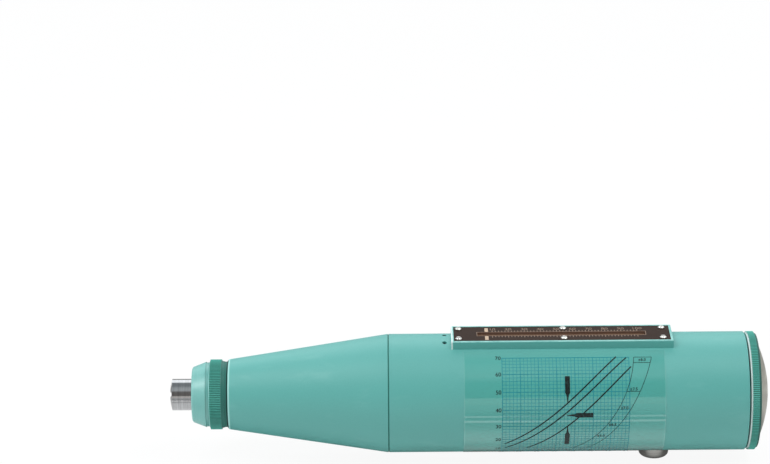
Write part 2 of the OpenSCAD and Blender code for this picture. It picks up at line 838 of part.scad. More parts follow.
// The frame's outer block, with a chamfer along all its top edges
module frame_block() {
  foot = seat_z + fixed_fit;
  intersection() {
    translate([frame_front, 0, 0])
      rotate([90, 0, 90])
        linear_extrude(frame_len)
          chamfered(-frame_w / 2, frame_w / 2, foot, frame_top);
    translate([0, frame_w / 2, 0])
      rotate([90, 0, 0])
        linear_extrude(frame_w)
          chamfered(frame_front, frame_rear, foot, frame_top);
  }
}

// An upright outline whose two top corners are cut off
module chamfered(left, right, low, high) {
  polygon([
    [left, low],
    [right, low],
    [right, high - frame_chamfer],
    [right - frame_chamfer, high],
    [left + frame_chamfer, high],
    [left, high - frame_chamfer]
  ]);
}

// The six places of the scale screws, on the underside of the plate
module screw_places() {
  for (x = screw_rows)
    for (side = [-1, 1])
      translate([x, side * screw_y, plate_floor])
        children();
}

module scale_plate() {
  color("darkslategray")
    difference() {
      block(
        [frame_mid - plate_len / 2 + fixed_fit, -plate_w / 2 + fixed_fit, plate_floor + fixed_fit],
        [frame_mid + plate_len / 2 - fixed_fit, plate_w / 2 - fixed_fit, plate_top]
      );
      block([slot_front, -slot_w / 2, plate_floor], [slot_front + slot_len, slot_w / 2, frame_top]);
      screw_places()
        cylinder(d = screw_d + 2 * fixed_fit, h = plate_t + cut);
    }
}

module scale_window() {
  color("lightcyan")
    block(
      [frame_mid - window_len / 2 + fixed_fit, -window_w / 2 + fixed_fit, window_floor + fixed_fit],
      [frame_mid + window_len / 2 - fixed_fit, window_w / 2 - fixed_fit, plate_floor]
    );
}

module scale_screws() {
  head_floor = plate_t + 2 * fixed_fit;
  color("gainsboro")
    screw_places()
      difference() {
        union() {
          translate([0, 0, -screw_len])
            cylinder(d = screw_d, h = screw_len + head_floor + fixed_fit);
          translate([0, 0, head_floor])
            cylinder(d = screw_head_d, h = screw_head_h / 2);
          translate([0, 0, head_floor + screw_head_h / 2])
            cylinder(d1 = screw_head_d, d2 = screw_head_d - screw_head_h, h = screw_head_h / 2);
        }
        block(
          [-screw_head_d, -driver_w / 2, head_floor + screw_head_h - driver_depth],
          [screw_head_d, driver_w / 2, head_floor + screw_head_h + cut]
        );
      }
}

module chart_label() {
  color("paleturquoise")
    translate([label_front, 0, 0])
      rotate([0, 90, 0])
        rotate([0, 0, 180 + label_start])
          rotate_extrude(angle = label_end - label_start)
            translate([label_r, 0])
              square([label_t, label_len]);
}

module rider_rod() {
  color("silver")
    translate([0, 0, rod_z])
      bar(rod_d / 2, rod_front, rod_rear);
}

module button_bush() {
  color("darkkhaki")
    difference() {
      union() {
        down_bar(button_bush_r, bush_end, flange_top);
        down_bar(bush_flange_r, pocket_floor + fixed_fit, flange_top);
      }
      down_bar(lock_pin_r + running_fit, bush_end - cut, flange_top + cut);
    }
}

module rear_cover() {
  color("mediumseagreen")
    difference() {
      union() {
        turned([
          [0, thread_front],
          [cover_thread_r, thread_front],
          [cover_thread_r, rim_front],
          [barrel_r - cover_chamfer, rim_front],
          [barrel_r - knurl_core, rim_front + cover_chamfer],
          [barrel_r - knurl_core, rim_rear - rim_edge],
          [barrel_r - rim_edge, rim_rear],
          [0, rim_rear]
        ]);
        knurl(barrel_r, cover_teeth, rim_front + cover_chamfer, rim_rear - rim_edge);
      }
      difference() {
        bar(cover_hollow_r, thread_front - cut, hollow_floor);
        bar(cover_boss_r, hollow_floor - cover_boss_h, hollow_floor + cut);
      }
      bar(dome_edge_r + fixed_fit, dome_front - fixed_fit, rim_rear + cut);
      translate([0, trip_r, 0])
        bar(trip_d / 2 + fixed_fit, thread_front, rim_rear + cut);
    }
}

module end_dome() {
  color("gainsboro")
    intersection() {
      bar(dome_edge_r, dome_front, dome_end + cut);
      translate([dome_end - dome_r, 0, 0])
        sphere(r = dome_r, $fn = dome_sides);
    }
}

module trip_screw() {
  color("silver")
    difference() {
      translate([0, trip_r, 0])
        bar(trip_d / 2, trip_tip, trip_rear);
      block(
        [trip_rear - trip_d / 4, trip_r - trip_d, -driver_w / 2],
        [trip_rear + cut, trip_r + trip_d, driver_w / 2]
      );
    }
}

// A hexagon nut on a line beside or on the axis
module hex_nut(flats, hole_d, from, to, y) {
  translate([from, y, 0])
    rotate([0, 90, 0])
      difference() {
        cylinder(r = flats / 2 / cos(30), h = to - from, $fn = 6);
        translate([0, 0, -cut])
          cylinder(d = hole_d + 2 * fixed_fit, h = to - from + 2 * cut);
      }
}

module trip_nut() {
  color("silver")
    hex_nut(trip_nut_w, trip_d, trip_nut_rear - trip_nut_t, trip_nut_rear, trip_r);
}

module impact_spring() {
  color("slategray")
    coil(impact_r, impact_front, impact_rear, impact_wire, impact_curls);
}

module return_spring() {
  color("slategray")
    coil(return_r, return_front, hollow_floor - fixed_fit, return_wire, return_curls);
}

module button_spring() {
  color("slategray")
    translate([button_x, 0, 0])
      rotate([0, 90, 0])
        coil(button_spring_r, flange_top + fixed_fit, cup_floor - fixed_fit, button_wire, button_curls);
}

module plunger() {
  color("silver")
    difference() {
      union() {
        intersection() {
          bar(plunger_r, plunger_tip, plunger_tip + tip_r);
          translate([plunger_tip + tip_r, 0, 0])
            sphere(r = tip_r);
        }
        bar(plunger_r, plunger_tip + tip_r / 2, plunger_rear);
      }
      bar(plunger_bore_d / 2, bore_floor, plunger_rear + cut);
    }
}

module plunger_bush() {
  color("darkkhaki")
    ring(plunger_bore_d / 2 - fixed_fit, bar_bore_r, bush_front, plunger_rear - fixed_fit);
}

module buffer_spring() {
  color("slategray")
    coil(buffer_r, bore_floor + fixed_fit, collar_x - fixed_fit, buffer_wire, buffer_curls);
}

module guide_bar() {
  color("silver") {
    bar(bar_tip_r, collar_x - bar_tip, collar_x + bar_collar);
    bar(bar_d / 2, collar_x, bar_rear);
    bar(plunger_bore_d / 2 - running_fit, collar_x, collar_x + bar_collar);
  }
}

module guide_disk() {
  color("lightslategray")
    difference() {
      bar(disk_r, disk_front, disk_rear);
      bar(bar_d / 2 + fixed_fit, disk_front - cut, disk_rear + cut);
      block(
        [disk_front - cut, -top_notch_w / 2, top_notch_z],
        [disk_rear + cut, top_notch_w / 2, barrel_r]
      );
      block(
        [disk_front - cut, -bottom_notch_w / 2, -barrel_r],
        [disk_rear + cut, bottom_notch_w / 2, -bottom_notch_r]
      );
      block(
        [disk_front - cut, pawl_slot_floor, -pawl_side],
        [disk_rear + cut, barrel_r, pawl_slot_top]
      );
      pin_bar(pawl_pin_d / 2 + fixed_fit);
    }
}

// The line of the pawl pin, upright through both cheeks of the disk's slot
module pin_bar(r) {
  translate([pivot_x, pivot_r, -pawl_side - pin_hold])
    cylinder(r = r, h = pawl_side + pawl_slot_top + 2 * pin_hold);
}

module bar_nut() {
  color("silver")
    hex_nut(bar_nut_w, bar_d, bar_nut_front, bar_nut_front + bar_nut_t, 0);
}

module pawl_pin() {
  color("silver")
    pin_bar(pawl_pin_d / 2);
}

module pawl_spring() {
  steps = pawl_curls * curl_rings;
  low = pawl_spring_start + pawl_wire / 2;
  coil_path = [
    for (i = [0 : steps])
      let (turn = 90 + 360 * i / curl_rings)
        [
          pivot_x + pawl_spring_r * cos(turn),
          pivot_r + pawl_spring_r * sin(turn),
          low + pawl_spring_pitch * i / curl_rings
        ]
  ];
  leg_shares = [1, 0.5];
  leg_path = [
    for (share = leg_shares)
      coil_path[0] + [pawl_leg * share, 0, 0]
  ];
  path = concat(leg_path, coil_path);
  echo(least_spring_gap = least_gap(coil_path, pawl_wire));
  color("slategray")
    wire_along(path, pawl_wire, [0, 0, 1]);
}

module pawl() {
  color("steelblue")
    difference() {
      translate([0, 0, -pawl_w / 2])
        linear_extrude(pawl_w) {
          polygon([
            [hook_front, hook_tip_r],
            [hook_back, hook_tip_r],
            [hook_back, arm_in_r],
            [pivot_x, arm_in_r],
            [tail_rear, trip_r - tail_half],
            [tail_rear, trip_r + tail_half],
            [pivot_x + boss_r, pivot_r],
            [pivot_x - boss_r, pivot_r],
            [hook_front, arm_out_r]
          ]);
          translate([pivot_x, pivot_r])
            circle(r = boss_r);
        }
      pin_bar(pawl_pin_d / 2 + running_fit);
    }
}

module hammer_mass() {
  color("dimgray")
    turned([
      [bar_bore_r, mass_front],
      [ring_in_r, mass_front],
      [ring_in_r, mass_front - spring_ring],
      [ring_out_r, mass_front - spring_ring],
      [ring_out_r, mass_front],
      [mass_flange_r - mass_chamfer, mass_front],
      [mass_flange_r, mass_front + mass_chamfer],
      [mass_flange_r, mass_flange_rear],
      [mass_body_r, mass_flange_rear],
      [mass_body_r, body_rear - mass_chamfer],
      [mass_body_r - mass_chamfer, body_rear],
      [lip_r, body_rear],
      [lip_r, groove_front],
      [mass_groove_r, groove_front],
      [mass_groove_r, lip_front],
      [lip_r, lip_front],
      [lip_r, mass_rear - mass_chamfer],
      [lip_r - mass_chamfer, mass_rear],
      [bar_bore_r, mass_rear]
    ]);
}

module rider_block() {
  color("goldenrod")
    difference() {
      union() {
        block(
          [rider_front, -rider_w / 2, rider_z],
          [rider_rear, rider_w / 2, rider_z + shoulder_h]
        );
        block(
          [rider_front, -rider_head_w / 2, rider_z],
          [rider_rear, rider_head_w / 2, rider_top]
        );
      }
      translate([0, 0, rod_z])
        bar(rod_d / 2 + running_fit, rider_front - cut, rider_rear + cut);
    }
}

module rider_finger() {
  color("darkgoldenrod") {
    block(
      [finger_x, -finger_w / 2, finger_z],
      [rider_rear, finger_w / 2, finger_z + finger_t]
    );
    block(
      [finger_x, -finger_w / 2, finger_z + finger_t - finger_tip],
      [finger_x + finger_t, finger_w / 2, finger_z + finger_t]
    );
  }
}

module push_button() {
  color("gainsboro")
    translate([button_x, 0, 0])
      rotate([180, 0, 0])
        difference() {
          rotate_extrude() {
            square_from([0, skirt_end], [button_r, button_end - button_edge]);
            square_from([0, skirt_end], [button_r - button_edge, button_end]);
            translate([button_r - button_edge, button_end - button_edge])
              circle(r = button_edge);
          }
          translate([0, 0, skirt_end - cut])
            cylinder(r = button_r - button_wall, h = cup_floor - skirt_end + cut);
        }
}

// A rectangle from one corner to the other
module square_from(low, high) {
  translate(low)
    square(high - low);
}

module lock_pin() {
  color("silver")
    difference() {
      down_bar(lock_pin_r, nose_end, cup_floor - fixed_fit);
      difference() {
        down_bar(lock_pin_r + cut, clip_low - fixed_fit, clip_top);
        down_bar(lock_pin_r - clip_groove, nose_end, flange_top);
      }
    }
}

module pin_clip() {
  color("slategray")
    difference() {
      down_bar(clip_d / 2, clip_low, clip_top - fixed_fit);
      down_bar(lock_pin_r - clip_groove + fixed_fit, nose_end, flange_top);
      block(
        [button_x - lock_pin_r + clip_groove, 0, -clip_top - cut],
        [button_x + lock_pin_r - clip_groove, clip_d, -nose_end + cut]
      );
    }
}

front_cap();
felt_washer();
split_ring();
guide_sleeve();
front_cone();
barrel();
grub_screws();
scale_frame();
scale_plate();
scale_window();
scale_screws();
chart_label();
rider_rod();
button_bush();
rear_cover();
end_dome();
trip_screw();
trip_nut();
impact_spring();
return_spring();
button_spring();
plunger();
plunger_bush();
buffer_spring();
guide_bar();
guide_disk();
bar_nut();
pawl_pin();
pawl_spring();
pawl();
hammer_mass();
rider_block();
rider_finger();
push_button();
lock_pin();
pin_clip();
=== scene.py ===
"""Looks of the concrete test hammer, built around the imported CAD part.

Every CAD node keeps its shape and gets a procedural material. The print of the scale and of the
chart label, and the rider's index plate, are thin pieces of their own.
All lengths are metres in the CAD frame: +X runs from the nose to the rear, +Z goes up through the
scale, and the chart label faces -Y.
"""

import json
import math

import bmesh
import bpy
from mathutils import Matrix, Vector


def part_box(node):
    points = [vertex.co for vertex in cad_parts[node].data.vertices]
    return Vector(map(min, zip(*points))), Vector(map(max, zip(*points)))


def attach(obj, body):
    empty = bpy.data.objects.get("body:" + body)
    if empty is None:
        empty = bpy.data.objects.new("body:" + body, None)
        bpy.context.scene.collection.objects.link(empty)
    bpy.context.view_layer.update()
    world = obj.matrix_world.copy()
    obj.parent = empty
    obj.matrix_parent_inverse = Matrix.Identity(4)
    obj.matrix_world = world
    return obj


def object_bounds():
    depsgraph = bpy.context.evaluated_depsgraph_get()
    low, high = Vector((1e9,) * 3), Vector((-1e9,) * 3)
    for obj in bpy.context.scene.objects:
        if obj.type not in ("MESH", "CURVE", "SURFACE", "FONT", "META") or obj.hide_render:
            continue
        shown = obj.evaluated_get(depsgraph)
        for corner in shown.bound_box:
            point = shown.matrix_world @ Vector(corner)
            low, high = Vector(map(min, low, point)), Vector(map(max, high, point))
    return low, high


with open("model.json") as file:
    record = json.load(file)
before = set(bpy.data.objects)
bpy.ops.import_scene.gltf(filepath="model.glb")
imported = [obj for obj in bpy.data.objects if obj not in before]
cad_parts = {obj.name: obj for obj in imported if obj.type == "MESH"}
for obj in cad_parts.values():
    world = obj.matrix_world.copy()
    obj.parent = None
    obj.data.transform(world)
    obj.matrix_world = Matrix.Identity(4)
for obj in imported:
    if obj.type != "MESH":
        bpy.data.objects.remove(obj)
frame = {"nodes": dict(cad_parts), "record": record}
cad_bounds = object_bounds()
nodes = frame["nodes"]

# Camera, placed so that the tool stands as in the photograph
PHOTO_WIDTH_PX = 770
FOCAL_PX = 2980.5
SENSOR_WIDTH_MM = 36.0
CAMERA_X = 0.093
CAMERA_DISTANCE = 1.4
CAMERA_ELEVATION = math.radians(24.5)
CAMERA_PITCH = math.radians(3.092)
CAMERA_YAW = math.radians(-0.10)
CAMERA_ROLL = math.radians(-0.495)

# Stretches along the tool. Those of the cap and the cone count from the rear of the cap, and those
# of the rear cover from its own rear
# CAP_REAR_EDGE, CONE_COLLAR, CONE_CORNER, COVER_FRONT_EDGE and COVER_REAR_EDGE carry painted shade,
# CONE_FRONT_EDGE a painted highlight
CAP_KNURL = (-0.0067, -0.0014)
CAP_REAR_EDGE = (-0.0014, 0.0002)
CONE_COLLAR = (-0.02, 0.0011)
CONE_CORNER = (0.0011, 0.0018)
CONE_FRONT_EDGE = (0.0019, 0.0026)
COVER_KNURL = (-0.0041, -0.001)
COVER_BARE = (-0.0048, -0.0041)
COVER_FRONT_EDGE = (-0.006, -0.0048)
COVER_REAR_EDGE = (-0.001, 0.0002)

# Depth of the knurls, widths of the painted shade in the joint, of the painted highlights on the
# frame's rim and front, of the film's pale ends and of its painted light at the top, and how softly
# stretches begin
KNURL_DEPTH = 0.0003
JOINT_GROOVE = 0.0003
FRAME_RIM_STEP = 0.0004
FRAME_FRONT_HIGHLIGHT = 0.0008
FILM_EDGE_START = 0.0002
FILM_EDGE_END = 0.0005
FILM_EDGE_PALENESS = 0.3
FILM_UPPER_EDGE = 0.003
FILM_UPPER_PAINTED_LIGHT = 0.14
SOFT_START = 0.0001
SHARP_START = 0.00005

# Thickness of all print
INK = 0.00003

# Print on the scale plate
SCALE_UNIT = 0.00075
SCALE_FIRST = 10
SCALE_LAST = 100
SCALE_NUMBER_STEP = 10
TICK_STEP = 2
TEN_FROM_FRAME = 0.0192
SLOT_FROM_TEN = -0.007
SLOT_LENGTH = 0.0782
SLOT_WIDTH = 0.004
SLOT_LINE = 0.0003
TICK_LINE = 0.00036
TICK_SHORT = 0.0014
TICK_LONG = 0.0019
SCALE_NUMBER_HEIGHT = 0.0023
SCALE_NUMBER_FOOT = 0.0043
START_BAR_FROM_TEN = -0.0027
START_BAR_WIDTH = 0.0016
START_BAR_INNER = 0.0026
START_BAR_OUTER = 0.00675

# Index on the rider's head
RIDER_HEAD_HALF = 0.0021
RIDER_PLATE_MARGIN = 0.0006
RIDER_LINE_FROM_FRONT = 0.0066

# Print on the chart label. Its places count in cells of the heavy grid, along from the left edge and
# up from the foot
CHART_CELL = 0.00836
CHART_FROM_LABEL = 0.0176
CHART_TOP_ANGLE = math.radians(31.4)
CHART_CELLS = 7
CELL_PARTS = 5
HEAVY_LINE = 0.00034
LIGHT_LINE = 0.00021
CURVE_LINE = 0.00058
THIN_CURVE_LINE = 0.0002
CURVE_STEPS = 48
ARC_STEP = 0.001
CHART_NUMBER_HEIGHT = 0.0019
CHART_NUMBER_BESIDE = -0.22
CHART_NUMBER_BELOW = -0.3
STRENGTH_PER_CELL = 10
REBOUND_FIRST = 20
REBOUND_PER_CELL = 5

# Strength curves, one per direction of the blow: constant, slope and bend, then first and last cell
STRENGTH_CURVES = (
    ((1.46, 0.722, 0.0259), 0.15, 6.3),
    ((0.93, 0.760, 0.0179), 0.2, 6.85),
    ((-0.09, 0.797, 0.0166), 1.4, 7.1),
)

# Edges of the spread, which give the cell along for a strength, and what is drawn between them
SPREAD_INNER = (2.85, 1.209, -0.0824)
SPREAD_OUTER = (3.74, 1.07, -0.0606)
SPREAD_FOOT = 1
SPREAD_RUNGS = (7, 6.65, 5)
SPREAD_NUMBERS = (
    (6.75, "8.0"),
    (5.05, "7.5"),
    (4, "7.0"),
    (3, "6.5"),
    (2.2, "6.0"),
)
SPREAD_NUMBER_HEIGHT = 0.0014
PLUS_MINUS = "\N{PLUS-MINUS SIGN}"

# Small signs of the tool on the chart: place of the rear end and heading, for a blow downwards, to
# the side and upwards
SIGNS = (
    ((3.58, 5.87), (0, -1)),
    ((5.0, 3.68), (-1, 0)),
    ((3.6, 1.5), (0, 1)),
)
SIGN_CELLS = 1.47
SIGN_BODY_SHARE = 0.62
SIGN_NECK_SHARE = 0.72
SIGN_BODY_WIDTH = 0.0022
SIGN_NECK_WIDTH = 0.0010
SIGN_TIP_WIDTH = 0.00025

# Height of a digit as a share of the font's size, how finely its curves are drawn, and how close two
# corners of the print are when they count as one
DIGIT_FONT_HEIGHT = 0.7
DIGIT_CURVE_STEPS = 3
MERGE_DISTANCE = 1e-7

# Floor: its paper, the share of plain white that the camera sees in it, its reach each way and how far
# it lies under the button
FLOOR_PAPER = (0.84, 0.84, 0.84)
FLOOR_WHITE_SEEN = 0.92
FLOOR_REACH = 4.0
FLOOR_DROP = 0.0002

# Tones of the floor in reflections, by millimetres aside from under the tool's axis. They are painted: a
# painted shadow of the housing close under it, and two glowing pale strips beside the tool which give
# painted reflected lines on the film
FLOOR_TONES = (
    (0, 0.10),
    (8, 0.15),
    (13, 0.42),
    (20, 0.50),
    (28, 1.00),
    (38, 1.05),
    (48, 0.75),
    (66, 0.50),
    (69, 1.60),
    (75, 1.60),
    (78, 0.40),
    (92, 0.35),
    (96, 1.40),
    (105, 1.40),
    (110, 0.35),
    (150, 0.50),
    (260, 0.62),
    (400, 0.62),
)
FLOOR_TONES_REACH = 400
MM_PER_M = 1000

# How far aside the housing's painted shadow reaches on the floor. Ahead of the nose the tones begin at this
# place
HOUSING_SHADE = 0.04

# Tones of the studio by degrees over the tool's axis, from the camera's side over the top to behind
STUDIO_TONES = (
    (0, (0.78, 0.74, 0.70)),
    (12, (0.78, 0.74, 0.70)),
    (13.5, (0.22, 0.20, 0.19)),
    (42, (0.22, 0.21, 0.20)),
    (55, (0.62, 0.65, 0.67)),
    (75, (0.52, 0.56, 0.58)),
    (90, (0.33, 0.36, 0.38)),
    (118, (0.33, 0.36, 0.38)),
    (128, (1.85, 1.9, 1.95)),
    (158, (1.85, 1.9, 1.95)),
    (163, (0.38, 0.38, 0.38)),
    (180, (0.45, 0.45, 0.45)),
)
HALF_TURN = 180

# Lamps: name, azimuth and elevation in degrees, distance and width in metres, power in watts
LAMPS = (
    ("key", -68, 43, 2.0, 0.5, 7.5),
    ("top_left", -75, 62, 2.0, 0.7, 6.0),
    ("top_right", 75, 62, 2.0, 0.7, 10.5),
    ("left", -80, 14, 1.2, 1.0, 5.0),
    ("right", 82, 22, 1.2, 1.2, 4.5),
)

# Colours, linear
GREEN = (0.085, 0.375, 0.342)
FILM_GREEN = (0.066, 0.36, 0.318)
GREEN_DEEP = (0.045, 0.215, 0.178)
# Paler green of rubbed coat, lathe marks and the film's ends, also used for painted highlights and painted
# light
BARE_GREEN_AND_HIGHLIGHT = (0.30, 0.62, 0.58)
# Pale bare metal of the cover's chamfer, also used as a painted highlight on the frame's front
BARE_METAL_AND_HIGHLIGHT = (0.62, 0.76, 0.74)
STEEL = (0.52, 0.53, 0.54)
STEEL_BRIGHT = (0.45, 0.46, 0.47)
BLACKENED = (0.055, 0.055, 0.06)
BRASS = (0.52, 0.34, 0.11)
ALUMINIUM = (0.76, 0.76, 0.72)
DOME_METAL = (0.41, 0.405, 0.345)
PLATE_BROWN = (0.031, 0.0195, 0.015)
SLOT_WALL = (0.17, 0.10, 0.072)
ACRYLIC_DARK = (0.30, 0.17, 0.11)
ACRYLIC_PALE = (0.40, 0.24, 0.16)
TAN_PRINT = (0.21, 0.135, 0.088)
PALE_PRINT = (0.50, 0.37, 0.26)
CYAN_PRINT = (0.014, 0.235, 0.275)
BLACK_PRINT = (0.008, 0.014, 0.014)
FELT = (0.60, 0.56, 0.45)

# Sizes of the marks on the surfaces, and depths of their bumps
COAT_TONE = 0.035
COAT_GRAIN = 0.0005
COAT_GRAIN_DEPTH = 0.000012
COAT_RUB = 0.006
FRAME_SCUFF = 0.004
LATHE_TONE = 0.02
LATHE_MARK = 0.00035
LATHE_MARK_DEPTH = 0.000015
METAL_MARK = 0.0003
METAL_MARK_DEPTH = 0.000004
METAL_STAIN = 0.009
FELT_FIBRE = 0.0004
FELT_FIBRE_DEPTH = 0.0002
PLATE_TONE = 0.012
PLATE_BRUSH = 0.0003
PLATE_BRUSH_DEPTH = 0.000006
ACRYLIC_HAZE = 0.004
FILM_TONE = 0.03
FILM_RIPPLE = 0.02
FILM_RIPPLE_DEPTH = 0.00004
INK_PATCH = 0.0012

# Stretch of the marks along the three axes: a small share draws them out along that axis
EVEN = (1, 1, 1)
LONG = (0.5, 1, 1)
LONGER = (0.3, 1, 1)
RUBBED_ALONG = (0.35, 1, 1)
BRUSHED_ALONG = (0.04, 1, 1)
DRAWN_ALONG = (0.03, 1, 1)
ROUND_THE_AXIS = (1, 0.03, 0.03)
ROUND_THE_LATHE = (1, 0.02, 0.02)
ROUND_THE_BUTTON = (0.03, 0.03, 1)

# Gloss of the coat, of green parts from the lathe, and of grooves and knurls
COAT_SPECULAR = 0.8
LATHE_SPECULAR = 1
GROOVE_SPECULAR = 0.15

# Sockets of the node that mixes two colours
MIX_FIRST = 6
MIX_SECOND = 7
MIX_RESULT = 2


class Nodes:
    """A node tree, and short calls that add to it. An input is a plain value or another node's output."""

    def __init__(self, tree):
        self.tree = tree

    def node(self, kind, inputs=None, **settings):
        made = self.tree.nodes.new(kind)
        for key, value in settings.items():
            setattr(made, key, value)
        for key, value in (inputs or {}).items():
            if isinstance(value, bpy.types.NodeSocket):
                self.tree.links.new(value, made.inputs[key])
            else:
                made.inputs[key].default_value = value
        return made

    def math(self, operation, first, second=0.0):
        return self.node("ShaderNodeMath", {0: first, 1: second}, operation=operation).outputs[0]

    def ramp(self, share, stops):
        """The colour at that share of a ramp, which is given by its stops from 0 to 1."""
        made = self.node("ShaderNodeValToRGB", {0: share})
        elements = made.color_ramp.elements
        while len(elements) < len(stops):
            elements.new(0.5)
        for element, (position, colour) in zip(elements, stops):
            element.position = position
            element.color = (*colour, 1)
        return made.outputs[0]


class Finish(Nodes):
    """A material with one Principled shader, and short calls for the nodes that feed it."""

    def __init__(self, name, **constants):
        self.material = bpy.data.materials.new(name)
        self.material.use_nodes = True
        super().__init__(self.material.node_tree)
        self.shader = self.tree.nodes["Principled BSDF"]
        for socket, value in constants.items():
            self.shader.inputs[socket.replace("_", " ")].default_value = value
        self.place = self.node("ShaderNodeTexCoord").outputs["Object"]

    def feed(self, socket, value):
        self.tree.links.new(value, self.shader.inputs[socket])

    def axis(self, letter):
        """One coordinate of the surface point."""
        return self.node("ShaderNodeSeparateXYZ", {0: self.place}).outputs[letter]

    def radius(self):
        """Distance of the surface point from the tool's axis."""
        flat = self.node("ShaderNodeVectorMath", {0: self.place, 1: (0, 1, 1)}, operation="MULTIPLY")
        return self.node("ShaderNodeVectorMath", {0: flat.outputs[0]}, operation="LENGTH").outputs["Value"]

    def between(self, start, end, blur=SOFT_START):
        """One on the stretch of the tool from start to end, and zero outside it."""
        x = self.axis("X")
        after = self.span(x, start - blur, start + blur)
        return self.math("MULTIPLY", after, self.span(x, end - blur, end + blur, 1, 0))

    def noise(self, size, stretch=EVEN, detail=3.0):
        """Soft noise with features of that size."""
        spread = self.node("ShaderNodeVectorMath", {0: self.place, 1: stretch}, operation="MULTIPLY")
        inputs = {"Vector": spread.outputs[0], "Scale": 1 / size, "Detail": detail}
        return self.node("ShaderNodeTexNoise", inputs).outputs[0]

    def span(self, value, start, end, low=0.0, high=1.0):
        """Maps a value between start and end to low and high, and holds it there outside."""
        inputs = {"Value": value, "From Min": start, "From Max": end, "To Min": low, "To Max": high}
        return self.node("ShaderNodeMapRange", inputs).outputs[0]

    def mix(self, share, first, second):
        """A colour between two colours, each a list or a socket."""
        made = self.node("ShaderNodeMix", {"Factor": share}, data_type="RGBA")
        for socket, colour in ((made.inputs[MIX_FIRST], first), (made.inputs[MIX_SECOND], second)):
            if isinstance(colour, bpy.types.NodeSocket):
                self.tree.links.new(colour, socket)
            else:
                socket.default_value = (*colour, 1)
        return made.outputs[MIX_RESULT]

    def darkened(self, colour, grooves):
        """A colour with painted shade in grooves and gaps, given by their stretch and share of deep green,
        and their mask.
        """
        mask = 0.0
        for stretch, share in grooves:
            groove = self.between(*stretch)
            colour = self.mix(groove, colour, shade(GREEN_DEEP, share))
            mask = self.math("MAXIMUM", mask, groove)
        return colour, mask

    def bump(self, height, depth):
        """Bumps of that depth where the height goes from 0 to 1."""
        inputs = {"Height": height, "Distance": depth, "Strength": 1.0}
        self.feed("Normal", self.node("ShaderNodeBump", inputs).outputs[0])


def shade(colour, share):
    return [part * share for part in colour]


def specked(finish, grain, colour, dark):
    """A colour with the fine dark grain of the coat."""
    return finish.mix(finish.span(grain, 0.3, 0.7, 0, 0.16), colour, dark)


def satin_coat(name, dark, painted_highlights=()):
    """Green coat of the housing: slow shifts of tone, fine grain and faint marks of handling.

    Dark stretches along the tool are painted shade in grooves and gaps, each with the share of deep
    green in it; the painted highlights are stretches of paler green on rounded edges.
    """
    finish = Finish(name)
    tone = finish.noise(COAT_TONE, LONG)
    grain = finish.noise(COAT_GRAIN, detail=2)
    rub = finish.span(finish.noise(COAT_RUB, RUBBED_ALONG, detail=6), 0.58, 0.78)
    toned = finish.mix(tone, shade(GREEN, 0.92), shade(GREEN, 1.08))
    coat = specked(finish, grain, toned, shade(GREEN, 0.72))
    colour = finish.mix(finish.span(rub, 0, 1, 0, 0.10), coat, BARE_GREEN_AND_HIGHLIGHT)
    # Painted shade in the grooves and gaps
    colour, matt = finish.darkened(colour, dark)
    # Painted highlights on rounded edges, in paler green
    for stretch in painted_highlights:
        colour = finish.mix(finish.between(*stretch), colour, BARE_GREEN_AND_HIGHLIGHT)
    rough = finish.span(grain, 0.25, 0.75, 0.45, 0.55)
    finish.feed("Base Color", colour)
    finish.feed("Roughness", finish.math("ADD", rough, finish.span(rub, 0, 1, 0, -0.06)))
    finish.feed("Specular IOR Level", finish.span(matt, 0, 1, COAT_SPECULAR, GROOVE_SPECULAR))
    finish.bump(grain, COAT_GRAIN_DEPTH)
    return finish.material


def frame_coat(name, rim_top, front):
    """The housing's green on the scale frame, a little darker as painted shade for its upright face, with
    scuffed wear and a painted highlight along the top of its rim, and a painted highlight at its front.
    """
    finish = Finish(name, Specular_IOR_Level=0.3)
    grain = finish.noise(COAT_GRAIN, detail=2)
    scuff = finish.noise(FRAME_SCUFF, detail=6)
    # A little darker than the housing's green: painted shade for the frame's upright face
    coat = specked(finish, grain, shade(GREEN, 0.92), shade(GREEN, 0.7))
    rim = finish.span(finish.axis("Z"), rim_top - FRAME_RIM_STEP, rim_top - FRAME_RIM_STEP / 2)
    # Scuffed wear and a painted highlight along the top of the rim
    rim_wear_and_sheen = finish.math("MULTIPLY", rim, finish.span(scuff, 0.3, 0.6, 0.35, 0.8))
    colour = finish.mix(rim_wear_and_sheen, coat, BARE_GREEN_AND_HIGHLIGHT)
    # Painted highlight on the frame's front edge
    bare = finish.span(finish.axis("X"), front + FRAME_FRONT_HIGHLIGHT / 2, front + FRAME_FRONT_HIGHLIGHT, 1, 0)
    finish.feed("Base Color", finish.mix(bare, colour, BARE_METAL_AND_HIGHLIGHT))
    finish.feed("Roughness", finish.span(grain, 0.25, 0.75, 0.38, 0.48))
    finish.bump(grain, COAT_GRAIN_DEPTH)
    return finish.material


